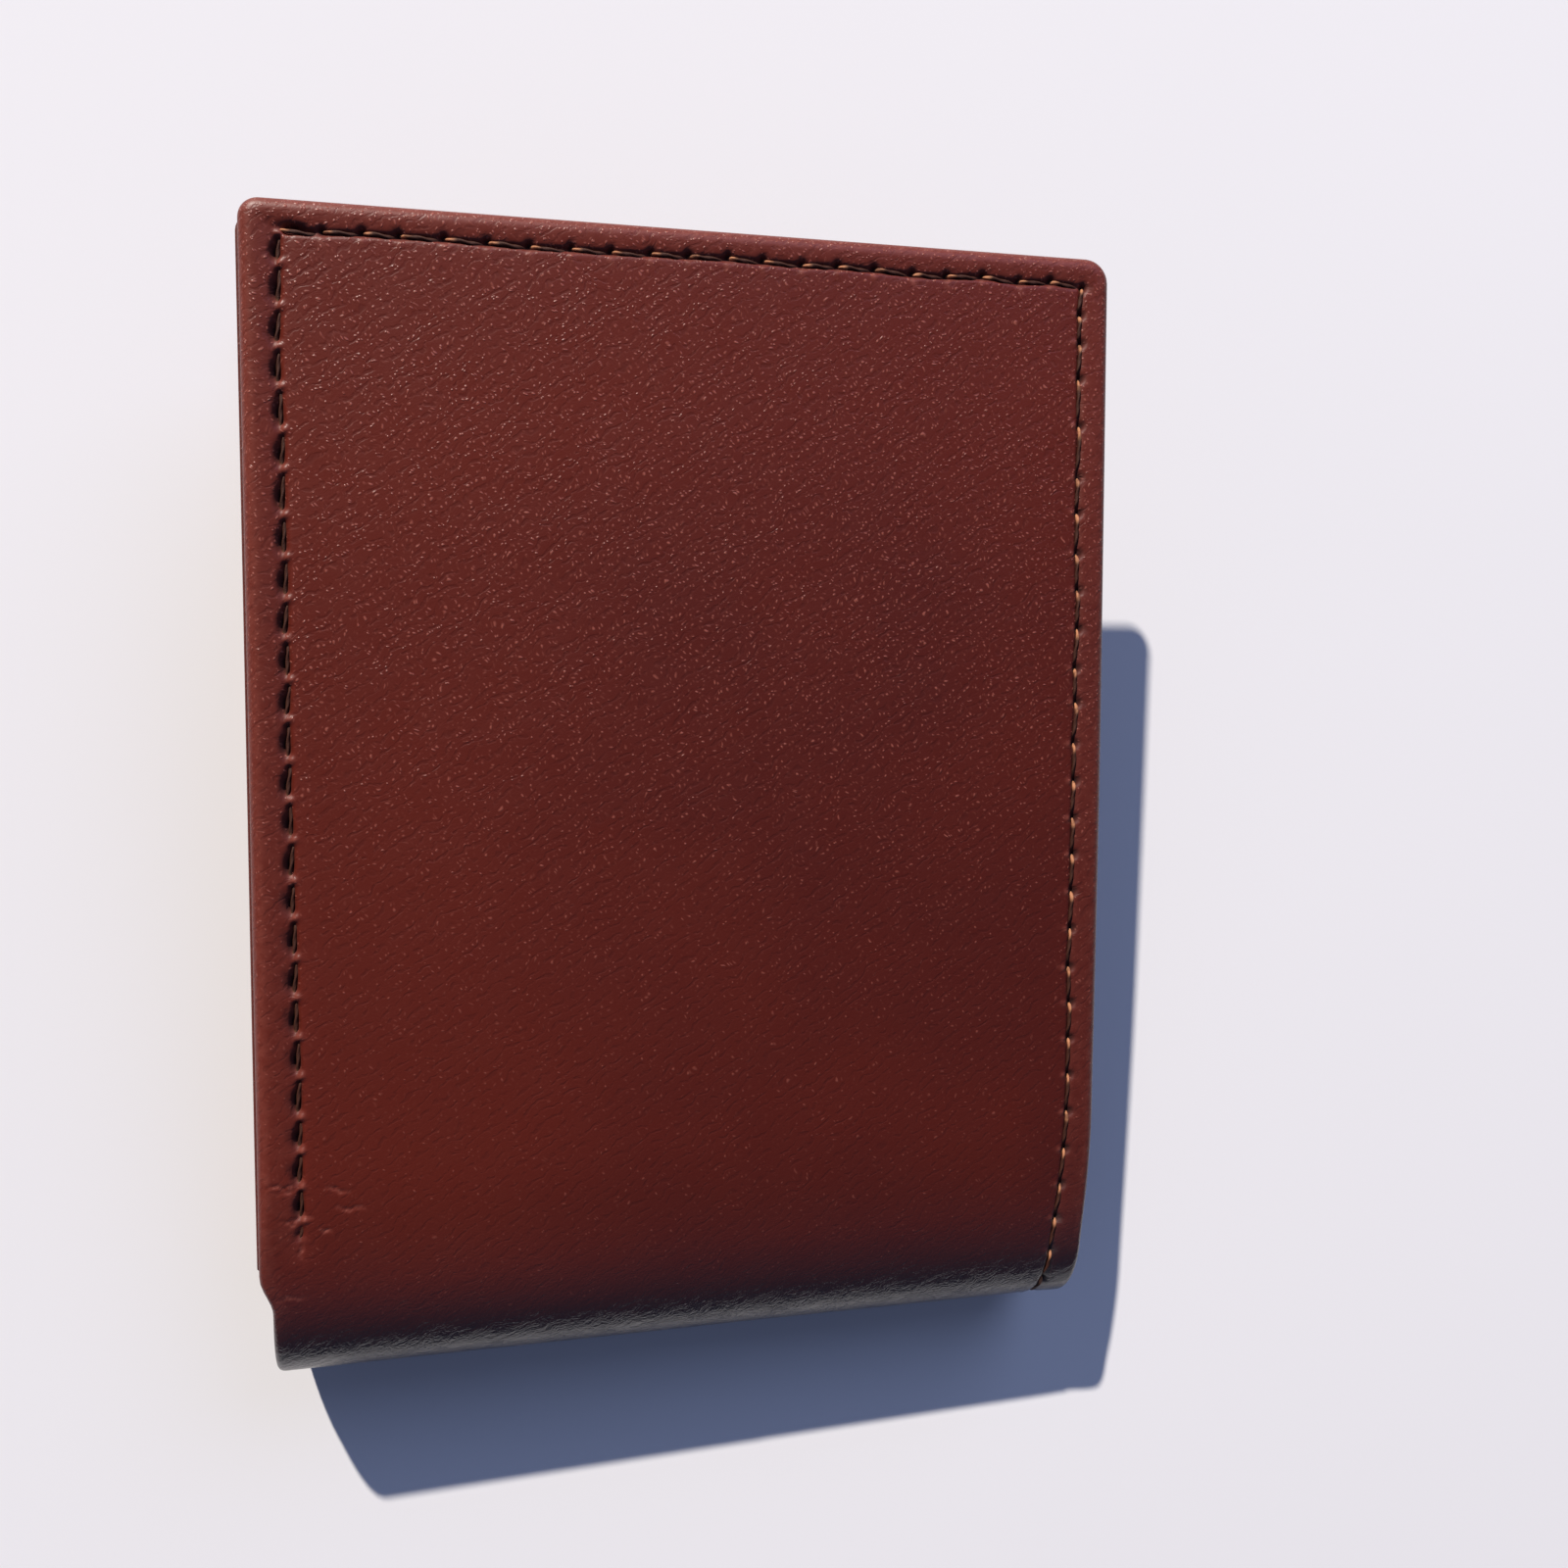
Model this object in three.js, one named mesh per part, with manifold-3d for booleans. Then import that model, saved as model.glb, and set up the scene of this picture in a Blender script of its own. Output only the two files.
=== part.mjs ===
// A bifold business card case in turned-edge leather. It lies on its back half, and the fold
// springs the front half slightly open. Millimetres, +Z up: X runs along the fold, -Y is the
// fold and +Y the free edges. The origin is the middle of the bottom face.
//
// Each layer of a half is placed by its depth, measured inwards from the outside of the leather.
// The cover, stiffener and lining go round the fold, so each is cut into a back, a spine and a
// front piece. These meet at two hinge lines on the outside of the fold.
// The card slots of both halves open on the +X side, and so does the long pocket behind them.

import * as THREE from "three";
import { mergeVertices } from "three/addons/utils/BufferGeometryUtils.js";
import Module from "manifold-3d";

const wasm = await Module();
wasm.setup();

// Driving dimensions
const WIDTH = 88; // along the fold
const LENGTH = 115; // from the outside of the fold to the free edge
const FOLD_RADIUS = 7.3; // outside of the fold, and half of the thickness there
const OPEN_ANGLE = THREE.MathUtils.degToRad(6.6); // how far the front half is sprung open
const HINGE_ANGLE = THREE.MathUtils.degToRad(45); // how far each half reaches round the fold
const HINGE_SLIT = 0.5; // between two pieces at a hinge line
const CORNER_RADIUS = 3; // free corners of the covers
const FOLD_INSET = 1.2; // the cover is cut in at the fold, on the -X side

// Layers that go round the fold: the first and last depth of each
const COVER = [0, 1.2];
const HEM = [1, 1.8]; // the cover's edge, turned in
const STIFFENER = [1.3, 1.8];
const LINING = [1.9, 2.2];
const HEM_WIDTH = 7;
const STIFFENER_MARGIN = 7.3;
const LINING_MARGIN = 1.7;

// Flat panels of each half, stacked on the lining
const DIVIDER = [2.6, 2.9]; // parts the long pocket from the card slots
const LAYER_GAP = 0.1;
const PANEL_MARGIN = 1; // to the edge of the cover
const PANEL_START = 2.3; // the panels stop short of the fold
const PANEL_CORNER_RADIUS = 2.4;
const DIVIDER_MOUTH = 38; // X of its free edge
const BACK_POCKETS = [
  { name: "slot_1", mouth: 30, thickness: 0.5 },
  { name: "slot_2", mouth: 19, thickness: 0.5 },
  { name: "card_pocket", mouth: 8, thickness: 0.8, notch: 10 },
];
const FRONT_POCKETS = [
  { name: "slot_1", mouth: 30, thickness: 0.5 },
  { name: "slot_2", mouth: 19, thickness: 0.5 },
  { name: "slot_3", mouth: 8, thickness: 0.5 },
  { name: "facing", mouth: -3, thickness: 0.8 },
];
const NOTCH_RISE = 3; // from a mouth to the centre of its thumb notch

// Seams
const SEAM_MARGIN = 3.6; // thread line to the edge of the cover
const SEAM_START = 5.5; // Y of the first stitch on the -X side
const THREAD_WIDTH = 0.6;
const THREAD_HEIGHT = 0.35;
const OUTER_THREAD = [0.1, 0.4]; // depths in the groove
const GROOVE_WIDTH = 1.2;
const GROOVE_DEPTH = 0.5;
const THREAD_CLEARANCE = 0.05; // under a thread that lies on an inner face
const FOLD_SEAM_MARGIN = 2.6; // seam beside the fold, to the edge of the panels
const DIVIDER_SEAM_MARGIN = 1.5; // end of the seams, to the divider's free edge

// Worked out from the above. Y is counted from the middle of the fold.
const HALF_WIDTH = WIDTH / 2;
const FREE_EDGE = LENGTH - FOLD_RADIUS;
const PANEL_END = FREE_EDGE - PANEL_MARGIN;
const PANEL_SIDE = -HALF_WIDTH + PANEL_MARGIN;
const SEAM_SIDE = HALF_WIDTH - SEAM_MARGIN;
const SEAM_END = FREE_EDGE - SEAM_MARGIN;
const SLIT_ANGLE = HINGE_SLIT / 2 / FOLD_RADIUS;
const HALF_REACH = HINGE_ANGLE - SLIT_ANGLE; // angles round the fold from its lowest point
const SPINE_START = HINGE_ANGLE + SLIT_ANGLE;
const SPINE_END = Math.PI - OPEN_ANGLE - SPINE_START;

// Construction
const ARC_STEPS = 12; // facets of a hinge arc or a corner
const NOTCH_STEPS = 48;
const FAR = 30; // how far a cutter reaches past what it cuts

const LEATHER = { color: 0x6a2a22, roughness: 0.48, metalness: 0 };
const INSIDE_LEATHER = { color: 0x642a20, roughness: 0.52, metalness: 0 };
const FABRIC = { color: 0x2a1a16, roughness: 0.85, metalness: 0 };
const BOARD = { color: 0x8a7760, roughness: 0.95, metalness: 0 };
const THREAD = { color: 0x3b2018, roughness: 0.5, metalness: 0 };

// ---- Solids ----

function solid(geometry) {
  const bare = geometry.index ? geometry.toNonIndexed() : geometry.clone();
  bare.deleteAttribute("normal");
  bare.deleteAttribute("uv");
  const merged = mergeVertices(bare, 1e-4);
  return new wasm.Manifold(
    new wasm.Mesh({
      numProp: 3,
      vertProperties: merged.attributes.position.array,
      triVerts: new Uint32Array(merged.index.array),
    }),
  );
}

function named(name, shape, finish) {
  const made = shape.getMesh();
  const geometry = new THREE.BufferGeometry();
  geometry.setAttribute("position", new THREE.BufferAttribute(made.vertProperties, 3));
  geometry.setIndex(new THREE.BufferAttribute(made.triVerts, 1));
  geometry.computeVertexNormals();
  const mesh = new THREE.Mesh(geometry, new THREE.MeshStandardMaterial(finish));
  mesh.name = name;
  return mesh;
}

function union(shapes) {
  return shapes.reduce((all, shape) => all.add(shape));
}

function box(x, y, z) {
  const geometry = new THREE.BoxGeometry(x[1] - x[0], y[1] - y[0], z[1] - z[0]);
  geometry.translate((x[0] + x[1]) / 2, (y[0] + y[1]) / 2, (z[0] + z[1]) / 2);
  return solid(geometry);
}

// A plate of this outline, seen from above, between two heights.
function plate(outline, z) {
  const geometry = new THREE.ExtrudeGeometry(outline, {
    depth: z[1] - z[0],
    bevelEnabled: false,
    curveSegments: ARC_STEPS,
  });
  geometry.translate(0, 0, z[0]);
  return solid(geometry);
}

// A side profile, given as [y, z] points, swept along X.
function sweep(profile, x) {
  const outline = new THREE.Shape(profile.map(([y, z]) => new THREE.Vector2(y, z)));
  const geometry = new THREE.ExtrudeGeometry(outline, { depth: x[1] - x[0], bevelEnabled: false });
  const yAxis = new THREE.Vector3(0, 1, 0);
  const zAxis = new THREE.Vector3(0, 0, 1);
  const xAxis = new THREE.Vector3(1, 0, 0);
  geometry.applyMatrix4(new THREE.Matrix4().makeBasis(yAxis, zAxis, xAxis));
  geometry.translate(x[0], 0, 0);
  return solid(geometry);
}

// ---- Outlines and profiles ----

// A rectangle that can be round at its two free-edge corners, on the -X and on the +X side.
function panelOutline([x0, x1], [y0, y1], radius0, radius1) {
  const outline = new THREE.Shape();
  outline.moveTo(x0, y0);
  outline.lineTo(x1, y0);
  outline.lineTo(x1, y1 - radius1);
  if (radius1 > 0) {
    outline.absarc(x1 - radius1, y1 - radius1, radius1, 0, Math.PI / 2, false);
  }
  outline.lineTo(x0 + radius0, y1);
  outline.absarc(x0 + radius0, y1 - radius0, radius0, Math.PI / 2, Math.PI, false);
  outline.closePath();
  return outline;
}

// Points round the fold at one depth, from one angle to another.
function foldArc(depth, from, to) {
  const radius = FOLD_RADIUS - depth;
  const points = [];
  for (let i = 0; i <= ARC_STEPS; i++) {
    const angle = from + ((to - from) * i) / ARC_STEPS;
    points.push([-radius * Math.sin(angle), FOLD_RADIUS - radius * Math.cos(angle)]);
  }
  return points;
}

// A layer of a half from the side: flat, and then round the fold to the hinge line.
function halfProfile([outer, inner], end) {
  const outside = foldArc(outer, 0, HALF_REACH);
  const inside = foldArc(inner, HALF_REACH, 0);
  return [[end, outer], ...outside, ...inside, [end, inner]];
}

// A layer of the spine from the side.
function spineProfile([outer, inner]) {
  return [...foldArc(outer, SPINE_START, SPINE_END), ...foldArc(inner, SPINE_END, SPINE_START)];
}

// ---- Layers that go round the fold ----

function halfLayer(depths, margin, radius) {
  const sides = [-HALF_WIDTH + margin, HALF_WIDTH - margin];
  const end = FREE_EDGE - margin;
  const outline = panelOutline(sides, [-FAR, end], radius, radius);
  return sweep(halfProfile(depths, end), sides).intersect(plate(outline, [-FAR, FAR]));
}

function spineLayer(depths, margin) {
  return sweep(spineProfile(depths), [-HALF_WIDTH + margin, HALF_WIDTH - margin]);
}

// The outer seam as tall bars: the -X side up to the fold, the free edge, and all of the +X side.
function seamBars(width, start) {
  const outside = SEAM_SIDE + width / 2;
  const inside = SEAM_SIDE - width / 2;
  const end = SEAM_END + width / 2;
  return union([
    box([-outside, -inside], [start, end], [-FAR, FAR]),
    box([-outside, outside], [end - width, end], [-FAR, FAR]),
    box([inside, outside], [-FAR, end], [-FAR, FAR]),
  ]);
}

// The cover with its turned-in hem and the groove of its seam, from their uncut layers.
function cover(skin, hemLayer, grooveLayer) {
  const hemInside = HALF_WIDTH - HEM_WIDTH;
  const field = box([-hemInside, hemInside], [-FAR, FREE_EDGE - HEM_WIDTH], [-FAR, FAR]);
  const foldCut = box([-WIDTH, -HALF_WIDTH + FOLD_INSET], [-FAR, PANEL_START], [-FAR, FAR]);
  const groove = grooveLayer.intersect(seamBars(GROOVE_WIDTH, SEAM_START - GROOVE_WIDTH / 2));
  return skin.add(hemLayer.subtract(field)).subtract(foldCut).subtract(groove);
}

// ---- Flat panels ----

// The pockets with the depths of each, from the one next to the divider.
function stacked(pockets) {
  let depth = DIVIDER[1];
  return pockets.map((pocket) => {
    const first = depth + LAYER_GAP;
    depth = first + pocket.thickness;
    return { ...pocket, depths: [first, depth] };
  });
}

// A panel from the -X side up to its mouth.
function panel(mouth, depths) {
  const across = [PANEL_SIDE, mouth];
  return plate(panelOutline(across, [PANEL_START, PANEL_END], PANEL_CORNER_RADIUS, 0), depths);
}

function pocketPanel({ mouth, depths, notch }) {
  if (!notch) {
    return panel(mouth, depths);
  }
  const cutter = new THREE.CylinderGeometry(notch, notch, FAR, NOTCH_STEPS);
  cutter.rotateX(Math.PI / 2);
  cutter.translate(mouth + NOTCH_RISE, (PANEL_START + PANEL_END) / 2, 0);
  return panel(mouth, depths).subtract(solid(cutter));
}

// ---- Thread on the inner faces ----

const onFace = (depth) => [depth + THREAD_CLEARANCE, depth + THREAD_CLEARANCE + THREAD_HEIGHT];
const threadBand = (line) => [line - THREAD_WIDTH / 2, line + THREAD_WIDTH / 2];

// A seam along X that steps down at each pocket mouth, from the topmost panel to the divider.
function steppedThread(y, pockets) {
  const levels = [...pockets].reverse().map(({ mouth, depths }) => ({ mouth, face: depths[1] }));
  levels.push({ mouth: DIVIDER_MOUTH - DIVIDER_SEAM_MARGIN, face: DIVIDER[1] });
  const bars = [];
  let start = -SEAM_SIDE - THREAD_WIDTH / 2;
  levels.forEach(({ mouth, face }, i) => {
    const corner = mouth + LAYER_GAP;
    const next = levels[i + 1];
    bars.push(box([start, corner + THREAD_WIDTH], threadBand(y), onFace(face)));
    if (next) {
      const drop = [onFace(next.face)[0], onFace(face)[1]];
      bars.push(box([corner, corner + THREAD_WIDTH], threadBand(y), drop));
    }
    start = corner;
  });
  return union(bars);
}

// The seams through the pockets: beside the fold, along the -X side and along the free edge.
function pocketSeam(pockets) {
  const besideFold = PANEL_START + FOLD_SEAM_MARGIN;
  const topFace = pockets[pockets.length - 1].depths[1];
  return union([
    steppedThread(besideFold, pockets),
    steppedThread(SEAM_END, pockets),
    box(threadBand(-SEAM_SIDE), [besideFold, SEAM_END], onFace(topFace)),
  ]);
}

// ---- Assembly ----

// A half lying on its outside, with the middle of the fold at Y = 0.
function half(side, unstacked) {
  const pockets = stacked(unstacked);
  const skin = halfLayer(COVER, 0, CORNER_RADIUS);
  const hem = halfLayer(HEM, 0, CORNER_RADIUS);
  const groove = halfLayer([-1, GROOVE_DEPTH], 0, CORNER_RADIUS);
  const outerSeam = halfLayer(OUTER_THREAD, 0, CORNER_RADIUS);
  const mouthSeam = sweep(halfProfile(onFace(LINING[1]), SEAM_END), threadBand(SEAM_SIDE));
  const parts = new THREE.Group();
  parts.add(
    named(`${side}_cover`, cover(skin, hem, groove), LEATHER),
    named(`${side}_stiffener`, halfLayer(STIFFENER, STIFFENER_MARGIN, 1), BOARD),
    named(`${side}_lining`, halfLayer(LINING, LINING_MARGIN, CORNER_RADIUS / 2), FABRIC),
    named(`${side}_divider`, panel(DIVIDER_MOUTH, DIVIDER), FABRIC),
    ...pockets.map((pocket) => named(`${side}_${pocket.name}`, pocketPanel(pocket), INSIDE_LEATHER)),
    named(`${side}_outer_seam`, outerSeam.intersect(seamBars(THREAD_WIDTH, SEAM_START)), THREAD),
    named(`${side}_pocket_seam`, pocketSeam(pockets), THREAD),
    named(`${side}_mouth_seam`, mouthSeam, THREAD),
  );
  return parts;
}

function spine() {
  const skin = spineLayer(COVER, 0);
  const hem = spineLayer(HEM, 0);
  const groove = spineLayer([-1, GROOVE_DEPTH], 0);
  const outerSeam = spineLayer(OUTER_THREAD, 0).intersect(seamBars(THREAD_WIDTH, SEAM_START));
  const mouthSeam = sweep(spineProfile(onFace(LINING[1])), threadBand(SEAM_SIDE));
  const parts = new THREE.Group();
  parts.add(
    named("spine_cover", cover(skin, hem, groove), LEATHER),
    named("spine_stiffener", spineLayer(STIFFENER, STIFFENER_MARGIN), BOARD),
    named("spine_lining", spineLayer(LINING, LINING_MARGIN), FABRIC),
    named("spine_outer_seam", outerSeam, THREAD),
    named("spine_mouth_seam", mouthSeam, THREAD),
  );
  return parts;
}

// Mirrors a half in the plane through the middle of the fold, and moves its origin there.
function turnOver(parts) {
  parts.children.forEach(({ geometry }) => {
    geometry.translate(0, 0, -FOLD_RADIUS);
    geometry.scale(1, 1, -1);
    geometry.index.array.reverse(); // mirrored faces are turned back to face outwards
    geometry.computeVertexNormals();
  });
  return parts;
}

const frontHalf = turnOver(half("front", FRONT_POCKETS));
frontHalf.position.z = FOLD_RADIUS;
frontHalf.rotation.x = OPEN_ANGLE;

const cardCase = new THREE.Group();
cardCase.add(half("back", BACK_POCKETS), spine(), frontHalf);
cardCase.position.y = FOLD_RADIUS - LENGTH / 2; // the origin is under the middle

export default cardCase;
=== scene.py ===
"""A bifold business card case in turned-edge leather, lying on its back half.

Every piece is worked out on the unfolded leather, in millimetres, and then laid round the fold:
x runs along the fold, s runs from the middle of the spine to a free edge, and depth is measured
inwards from the outside of the leather. y is s counted from the end of the fold's curve.
"""

import math
from types import SimpleNamespace

import bmesh
import bpy
import numpy as np
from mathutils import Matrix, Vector


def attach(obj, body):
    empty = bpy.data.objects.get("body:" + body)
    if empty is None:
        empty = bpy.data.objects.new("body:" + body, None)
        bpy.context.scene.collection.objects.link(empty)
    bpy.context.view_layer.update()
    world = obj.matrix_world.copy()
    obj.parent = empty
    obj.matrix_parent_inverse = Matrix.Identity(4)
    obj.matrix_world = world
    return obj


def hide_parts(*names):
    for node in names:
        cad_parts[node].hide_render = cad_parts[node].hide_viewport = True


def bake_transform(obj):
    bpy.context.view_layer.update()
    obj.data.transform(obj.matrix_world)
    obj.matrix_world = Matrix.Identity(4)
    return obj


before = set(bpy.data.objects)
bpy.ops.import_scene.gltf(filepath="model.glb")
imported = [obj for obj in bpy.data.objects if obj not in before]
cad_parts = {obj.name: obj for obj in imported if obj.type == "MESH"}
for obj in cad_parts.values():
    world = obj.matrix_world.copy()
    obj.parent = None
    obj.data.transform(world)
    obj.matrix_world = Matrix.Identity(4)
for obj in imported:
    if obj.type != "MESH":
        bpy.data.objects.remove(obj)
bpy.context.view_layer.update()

MM = 0.001
HALF_WIDTH = 44.0
LENGTH = 115.0
FOLD_RADIUS = 7.3
OPEN = math.radians(6.6)
MID = (math.pi - OPEN) / 2  # angle of each half round the fold
ARC = FOLD_RADIUS * MID
FREE_EDGE = LENGTH - FOLD_RADIUS
S_END = ARC + FREE_EDGE
FOLD_Y = FOLD_RADIUS - LENGTH / 2

# How far the layers of each half have sunk inwards, at places along s. Below zero they bulge
# outwards: the front half is bowed, and fuller at its -X end of the fold than at its +X end.
SINK_AT = (0, 2, 4, 7.2, 11.05, 16, 23, 35, 61, 91, 118.75)
SINK = {
    "back": ((0, 0.05, 0.2, 0.4, 0.5, 0.33, 0.12, 0, 0, 0, 0),) * 2,
    "front": (
        (0, 0, -0.4, -1.1, -1.5, -1.7, -1.8, -1.6, -0.9, -0.3, 0),
        (0, 0, 0.15, 0.43, 0.6, 0.35, 0.05, -0.2, -0.5, -0.3, 0),
    ),
}

HEM_WIDTH = 7.0
HEM_DEPTH = 1.85
SKIN_DEPTH = 1.2
SEAM_TOP = 104.7  # y of the seam along the free edge
PANEL_START = 2.3
PANEL_END = 106.7
PITCH = 3.9
INNER_SEAM = 40.4
INNER_SEAM_END = 104.1
INNER_SEAM_MOUTH = 36.3  # x where the pocket seam starts and ends
BESIDE_FOLD = 4.9

ROLL_WIDTH = 1.3  # of the cover's rolled edge
ROLL_DEPTH = 1.15
CORNERS = (2.0, 2.6)  # radius at the -X and at the +X corner
CUT_IN = (1.2, 1.5)  # of the cover at the fold, on the -X and on the +X side

STIFFENER = (1.3, 1.8)  # first and last depth
STIFFENER_MARGIN = 7.3
LINING = (1.9, 2.2)
LINING_MARGIN = 1.7
DIVIDER = (2.6, 2.9)
DIVIDER_MOUTH = 38.0
PANEL_X = -43.0  # -X edge of the panels
PROUD_X = -44.45  # that of the front half's leather panels, which stand out from the cover
PROUD_FROM = 4.6  # y where they start to
NOTCH_RADIUS = 10
NOTCH_OUTSIDE = 3  # from the pocket's mouth to the notch's middle
MOUTH_LINE = 2.3  # from a mouth to the line creased beside it
POCKETS = {  # name: mouth, first and last depth
    "back": {
        "slot_1": (30, 3.0, 3.5),
        "slot_2": (19, 3.6, 4.1),
        "card_pocket": (8, 4.2, 5.0),
    },
    "front": {
        "slot_1": (30, 3.0, 3.5),
        "slot_2": (19, 3.6, 4.1),
        "slot_3": (8, 4.2, 4.7),
        "facing": (-3, 4.8, 5.6),
    },
}
SIDES = ("back", "front")
PATTERN_APART = 9  # keeps the halves from having the same grain


# ---- Shapes on the unfolded leather ----


def smooth(t):
    """A soft step as t goes from 0 to 1."""
    t = np.clip(t, 0, 1)
    return t * t * (3 - 2 * t)


def ramp(value, start, end):
    """A soft step from 0 at start to 1 at end, which may be the lower of the two."""
    return smooth((value - start) / (end - start))


def bell(distance, width):
    """A soft bump, 1 where the distance is 0."""
    return np.exp(-((distance / width) ** 2))


def curve(at, places, values):
    """A smooth curve through some values."""
    places, values = np.array(places, float), np.array(values, float)
    slopes = np.gradient(values, places)
    i = np.clip(np.searchsorted(places, at) - 1, 0, len(places) - 2)
    step = places[i + 1] - places[i]
    u = np.clip((at - places[i]) / step, 0, 1)
    ends = (2 * u**3 - 3 * u**2 + 1) * values[i] + (3 * u**2 - 2 * u**3) * values[i + 1]
    turns = (u**3 - 2 * u**2 + u) * slopes[i] + (u**3 - u**2) * slopes[i + 1]
    return ends + turns * step


def sunk(x, s, side):
    """How far the layers have sunk inwards here."""
    low, high = (curve(s, SINK_AT, values) for values in SINK[side])
    return low + (high - low) * np.clip((x + HALF_WIDTH) / (2 * HALF_WIDTH), 0, 1)


def place(flat, side):
    """Points of the unfolded leather in the row frame, in metres."""
    x, s, depth = np.asarray(flat, float).T
    depth = depth + sunk(x, s, side)
    angle = np.maximum(ARC - s, 0) / FOLD_RADIUS
    radius = FOLD_RADIUS - depth
    u = np.maximum(s - ARC, 0) - radius * np.sin(angle)
    v = -radius * np.cos(angle)
    if side == "front":
        u, v = u * math.cos(OPEN) + v * math.sin(OPEN), u * math.sin(OPEN) - v * math.cos(OPEN)
    return np.stack([x, u + FOLD_Y, v + FOLD_RADIUS], 1) * MM


def bend(obj, side):
    """Bakes obj's transform into its mesh, alike on either side."""
    if side == "back":
        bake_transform(obj)
    else:
        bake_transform(obj)


EDGE_LINES = np.array([0, 0.06, 0.16, 0.3, 0.48, 0.72, 1.0, 1.35, 1.8])
PANEL_LINES = np.array([0, 0.03, 0.08, 0.15, 0.25, 0.4, 0.65, 1.0, 1.5])


def grid_lines(start, end, step, first=EDGE_LINES, last=EDGE_LINES):
    """Lines across a grid, close together at its edges."""
    a, b = start + first, (end - last)[::-1]
    count = max(2, round((b[0] - a[-1]) / step))
    return np.concatenate([a, np.linspace(a[-1], b[0], count + 1)[1:-1], b])


def slab(xs, ss, open_start, refine=None):
    """A closed slab over a grid. Its points hold x, s and the side they are on: 0 for the first
    face and the rim, and 1 for the second face. It ends square at the first s if open_start."""
    nx, ns = len(xs), len(ss)
    first = np.arange(nx * ns).reshape(nx, ns)
    second = first + nx * ns
    second[0], second[-1], second[:, -1] = first[0], first[-1], first[:, -1]
    if not open_start:
        second[:, 0] = first[:, 0]
    gx, gs = (g.ravel() for g in np.meshgrid(xs, ss, indexing="ij"))
    grid = np.concatenate([np.stack([gx, gs, gx * 0 + k], 1) for k in (0, 1)])

    def quads(index):
        corners = index[:-1, :-1], index[1:, :-1], index[1:, 1:], index[:-1, 1:]
        return np.stack([c.ravel() for c in corners], 1)

    faces = np.concatenate([quads(first), quads(second)[:, ::-1]]).tolist()
    if open_start:
        ends = np.stack([first[:-1, 0], second[:-1, 0], second[1:, 0], first[1:, 0]], 1)
        faces += [list(dict.fromkeys(f)) for f in ends.tolist()]
    used = np.unique(np.concatenate([first.ravel(), second.ravel()]))
    renumber = np.full(len(grid), -1)
    renumber[used] = np.arange(len(used))
    mesh = bpy.data.meshes.new("slab")
    mesh.from_pydata(grid[used].tolist(), [], [[int(renumber[i]) for i in f] for f in faces])
    bm = bmesh.new()
    bm.from_mesh(mesh)
    bpy.data.meshes.remove(mesh)
    if refine:
        fine = set()
        for f in bm.faces:
            c = f.calc_center_median()
            if all(v.co.z == 0 for v in f.verts) and f.normal.z > 0.5 and refine(c.x, c.y):
                fine.update(f.edges)
        bmesh.ops.subdivide_edges(bm, edges=list(fine), cuts=3, use_grid_fill=True)
    if open_start:
        for e in bm.edges:
            ends = [all(v.co.y == ss[0] for v in f.verts) for f in e.link_faces]
            e.smooth = len(set(ends)) == 1
    return bm


def grid_of(bm):
    """What the points of a slab hold."""
    return np.array([v.co for v in bm.verts])


def rounded(x, s, half_width, end, radii, centre=0.0):
    """Rounds the two free corners of a grid. Gives x, s and the distance to the edge."""
    edge = np.minimum(half_width - np.abs(x - centre), end - s)
    across, along = x.copy(), s.copy()
    for sign, radius in zip((-1, 1), radii):
        if not radius:
            continue
        a = (sign * (x - centre) - (half_width - radius)) / radius
        b = (s - (end - radius)) / radius
        corner = (a > 0) & (b > 0)
        a, b = np.clip(a, 0, 1), np.clip(b, 0, 1)
        round_a, round_b = a * np.sqrt(1 - b * b / 2), b * np.sqrt(1 - a * a / 2)
        across = np.where(corner, centre + sign * (half_width - radius + radius * round_a), across)
        along = np.where(corner, end - radius + radius * round_b, along)
        edge = np.where(corner, radius * (1 - np.hypot(round_a, round_b)), edge)
    return across, along, np.maximum(edge, 0)


def roll(edge, width, drop):
    """A quarter round at an edge: how far the surface has dropped."""
    t = np.clip(1 - edge / width, 0, 1)
    return drop * (1 - np.sqrt(1 - t * t))


# ---- Building pieces ----


def finish_piece(name, bm, points, attributes, material):
    """Makes an object of a bmesh, with its points in the row frame."""
    for v, p in zip(bm.verts, points):
        v.co = p
    bmesh.ops.recalc_face_normals(bm, faces=bm.faces)
    mesh = bpy.data.meshes.new(name)
    bm.to_mesh(mesh)
    bm.free()
    mesh.polygons.foreach_set("use_smooth", [True] * len(mesh.polygons))
    for key, values in attributes.items():
        values = np.asarray(values, np.float32)
        vector = values.ndim == 2
        layer = mesh.attributes.new(key, "FLOAT_VECTOR" if vector else "FLOAT", "POINT")
        layer.data.foreach_set("vector" if vector else "value", values.ravel())
    mesh.materials.append(material)
    obj = bpy.data.objects.new(name, mesh)
    bpy.context.scene.collection.objects.link(obj)
    return obj


def flat_attribute(x, s, depth, side):
    """Place on the leather, for the materials."""
    if side == "front":
        return np.stack([x, s, depth], 1)
    return np.stack([x, -s, depth + PATTERN_APART], 1)


# ---- Seams ----


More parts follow.
